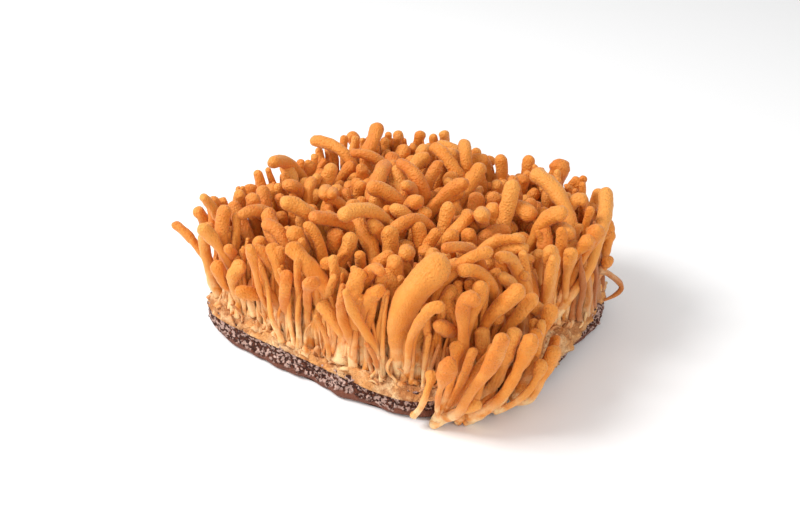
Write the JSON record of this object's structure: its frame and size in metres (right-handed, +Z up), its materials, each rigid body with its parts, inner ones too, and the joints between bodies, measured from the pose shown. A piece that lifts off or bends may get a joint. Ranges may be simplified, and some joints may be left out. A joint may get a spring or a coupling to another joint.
{
  "type": "cordyceps mushroom block",
  "caption": "Cut block of cultivated cordyceps: a grain cake with a felted mycelium mat and a dense crop of club-shaped mushrooms growing from it.",
  "frame": {"origin": "centre of the grain cake's flat underside, on the surface it rests on", "axes": "+Z up; +X and +Y run along the cake's two sides, and the straight cut side faces -Y"},
  "size_m": [0.1487, 0.1257, 0.058],
  "materials": {
    "grain_cake": "damp brown grain with pale pink speckle",
    "felt": "matt felted mycelium",
    "flesh": "soft satin mushroom flesh"
  },
  "bodies": {
    "root": {"grain_cake": "grain_cake", "mycelium_mat": "felt", "side_tuft_54": "flesh", "side_tuft_55": "flesh", "side_tuft_56": "flesh", "side_tuft_57": "flesh", "tuft_01": "flesh", "tuft_02": "flesh", "tuft_03": "flesh", "tuft_04": "flesh", "tuft_05": "flesh", "tuft_06": "flesh", "tuft_07": "flesh", "tuft_08": "flesh", "tuft_09": "flesh", "tuft_10": "flesh", "tuft_11": "flesh", "tuft_12": "flesh", "tuft_13": "flesh", "tuft_14": "flesh", "tuft_15": "flesh", "tuft_16": "flesh", "tuft_17": "flesh", "tuft_18": "flesh", "tuft_19": "flesh", "tuft_20": "flesh", "tuft_21": "flesh", "tuft_22": "flesh", "tuft_23": "flesh", "tuft_24": "flesh", "tuft_25": "flesh", "tuft_26": "flesh", "tuft_27": "flesh", "tuft_28": "flesh", "tuft_29": "flesh", "tuft_30": "flesh", "tuft_31": "flesh", "tuft_32": "flesh", "tuft_33": "flesh", "tuft_34": "flesh", "tuft_35": "flesh", "tuft_36": "flesh", "tuft_37": "flesh", "tuft_38": "flesh", "tuft_39": "flesh", "tuft_40": "flesh", "tuft_41": "flesh", "tuft_42": "flesh", "tuft_43": "flesh", "tuft_44": "flesh", "tuft_45": "flesh", "tuft_46": "flesh", "tuft_47": "flesh", "tuft_48": "flesh", "tuft_49": "flesh", "tuft_50": "flesh", "tuft_51": "flesh", "tuft_52": "flesh", "tuft_53": "flesh"}
  },
  "joints": []
}
